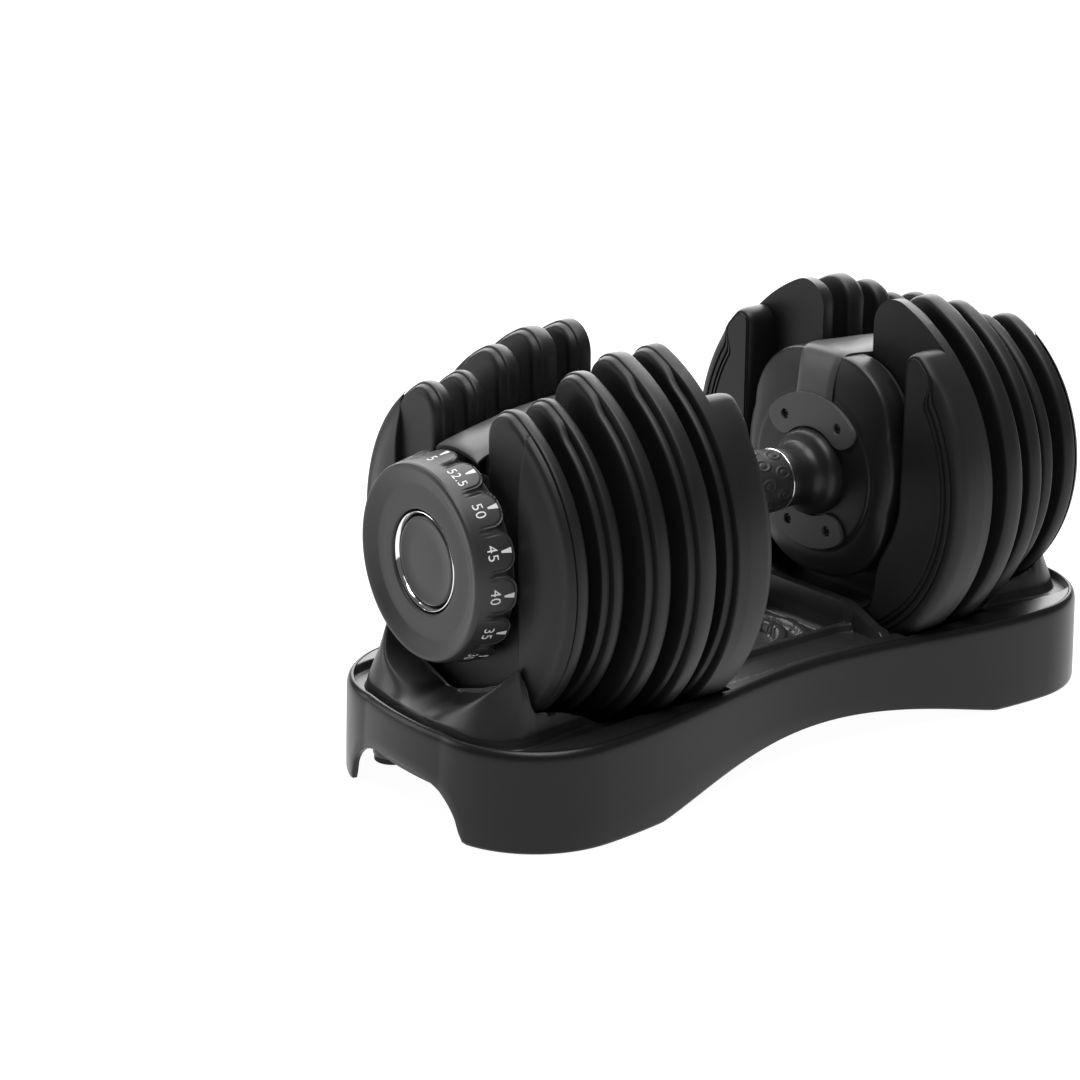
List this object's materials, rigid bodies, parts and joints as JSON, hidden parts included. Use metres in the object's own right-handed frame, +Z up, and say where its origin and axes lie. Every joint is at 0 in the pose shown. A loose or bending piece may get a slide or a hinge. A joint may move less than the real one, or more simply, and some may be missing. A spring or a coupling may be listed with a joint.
{
  "type": "adjustable dumbbell",
  "caption": "Adjustable dumbbell in its storage tray, with a selector dial at each end, nested plates, a rubber grip and a handle that lifts out.",
  "frame": {"origin": "middle of the footprint, on the floor", "axes": "+X along the handle, +Y across it, +Z up out of the tray"},
  "size_m": [0.429, 0.206, 0.2232],
  "materials": {
    "tray_shell": "satin",
    "tray_cradle": "satin",
    "foot_rubber": "matt",
    "screw_steel": "satin",
    "grip_rubber": "matt",
    "chrome": "polished",
    "bare_steel": "satin",
    "black_screw": "satin",
    "collar": "satin",
    "housing": "satin",
    "housing_back": "matt",
    "bridge": "satin",
    "clamp_plate": "satin",
    "spring_steel": "bright",
    "dial": "satin",
    "dial_cap": "satin",
    "selector_steel": "satin",
    "plate_cover": "fine textured",
    "plate_core": "raw"
  },
  "bodies": {
    "tray": {"tray_shell": "tray_shell", "tray_cradle": "tray_cradle", "tray_feet": "foot_rubber", "tray_screws": "screw_steel"},
    "handle": {"grip": "grip_rubber", "grip_rings": "chrome", "grip_tube": "bare_steel", "axle": "bare_steel", "clamp_screws": "black_screw", "collar_left": "collar", "housing_left": "housing", "housing_back_left": "housing_back", "bridge_left": "bridge", "clamp_plate_left": "clamp_plate", "lock_slider_left": "bare_steel", "lock_spring_left": "spring_steel", "end_nut_left": "bare_steel", "collar_right": "collar", "housing_right": "housing", "housing_back_right": "housing_back", "bridge_right": "bridge", "clamp_plate_right": "clamp_plate", "lock_slider_right": "bare_steel", "lock_spring_right": "spring_steel", "end_nut_right": "bare_steel"},
    "dial_assembly_left": {"dial_left": "dial", "dial_ring_left": "chrome", "dial_cap_left": "dial_cap", "index_ring_left": "bare_steel", "selector_discs_left": "selector_steel"},
    "plate_1_left": {"plate_1_cover_left": "plate_cover", "plate_1_core_left": "plate_core"},
    "plate_2_left": {"plate_2_cover_left": "plate_cover", "plate_2_core_left": "plate_core"},
    "plate_3_left": {"plate_3_cover_left": "plate_cover", "plate_3_core_left": "plate_core"},
    "plate_4_left": {"plate_4_cover_left": "plate_cover", "plate_4_core_left": "plate_core"},
    "plate_5_left": {"plate_5_cover_left": "plate_cover", "plate_5_core_left": "plate_core"},
    "dial_assembly_right": {"dial_right": "dial", "dial_ring_right": "chrome", "dial_cap_right": "dial_cap", "index_ring_right": "bare_steel", "selector_discs_right": "selector_steel"},
    "plate_1_right": {"plate_1_cover_right": "plate_cover", "plate_1_core_right": "plate_core"},
    "plate_2_right": {"plate_2_cover_right": "plate_cover", "plate_2_core_right": "plate_core"},
    "plate_3_right": {"plate_3_cover_right": "plate_cover", "plate_3_core_right": "plate_core"},
    "plate_4_right": {"plate_4_cover_right": "plate_cover", "plate_4_core_right": "plate_core"},
    "plate_5_right": {"plate_5_cover_right": "plate_cover", "plate_5_core_right": "plate_core"}
  },
  "joints": [
    {"name": "handle_lift", "type": "slide", "parent": "tray", "child": "handle", "axis": [0, 0, 1], "range_m": [0, 0.22]},
    {"name": "dial_left_turn", "type": "hinge", "parent": "handle", "child": "dial_assembly_left", "pos_m": [-0.19, 0, 0.127], "axis": [-1, 0, 0], "continuous": true},
    {"name": "plate_1_left_stay", "type": "slide", "parent": "handle", "child": "plate_1_left", "axis": [0, 0, 1], "range_m": [-0.22, 0]},
    {"name": "plate_2_left_stay", "type": "slide", "parent": "handle", "child": "plate_2_left", "axis": [0, 0, 1], "range_m": [-0.22, 0]},
    {"name": "plate_3_left_stay", "type": "slide", "parent": "handle", "child": "plate_3_left", "axis": [0, 0, 1], "range_m": [-0.22, 0]},
    {"name": "plate_4_left_stay", "type": "slide", "parent": "handle", "child": "plate_4_left", "axis": [0, 0, 1], "range_m": [-0.22, 0]},
    {"name": "plate_5_left_stay", "type": "slide", "parent": "handle", "child": "plate_5_left", "axis": [0, 0, 1], "range_m": [-0.22, 0]},
    {"name": "dial_right_turn", "type": "hinge", "parent": "handle", "child": "dial_assembly_right", "pos_m": [0.19, 0, 0.127], "axis": [1, 0, 0], "continuous": true},
    {"name": "plate_1_right_stay", "type": "slide", "parent": "handle", "child": "plate_1_right", "axis": [0, 0, 1], "range_m": [-0.22, 0]},
    {"name": "plate_2_right_stay", "type": "slide", "parent": "handle", "child": "plate_2_right", "axis": [0, 0, 1], "range_m": [-0.22, 0]},
    {"name": "plate_3_right_stay", "type": "slide", "parent": "handle", "child": "plate_3_right", "axis": [0, 0, 1], "range_m": [-0.22, 0]},
    {"name": "plate_4_right_stay", "type": "slide", "parent": "handle", "child": "plate_4_right", "axis": [0, 0, 1], "range_m": [-0.22, 0]},
    {"name": "plate_5_right_stay", "type": "slide", "parent": "handle", "child": "plate_5_right", "axis": [0, 0, 1], "range_m": [-0.22, 0]}
  ],
  "couplings": [
    {"joint": "plate_1_left_stay", "follows": "handle_lift", "ratio": -1},
    {"joint": "plate_2_left_stay", "follows": "handle_lift", "ratio": -1},
    {"joint": "plate_3_left_stay", "follows": "handle_lift", "ratio": -1},
    {"joint": "plate_4_left_stay", "follows": "handle_lift", "ratio": -1},
    {"joint": "plate_5_left_stay", "follows": "handle_lift", "ratio": -1},
    {"joint": "plate_1_right_stay", "follows": "handle_lift", "ratio": -1},
    {"joint": "plate_2_right_stay", "follows": "handle_lift", "ratio": -1},
    {"joint": "plate_3_right_stay", "follows": "handle_lift", "ratio": -1},
    {"joint": "plate_4_right_stay", "follows": "handle_lift", "ratio": -1},
    {"joint": "plate_5_right_stay", "follows": "handle_lift", "ratio": -1}
  ]
}
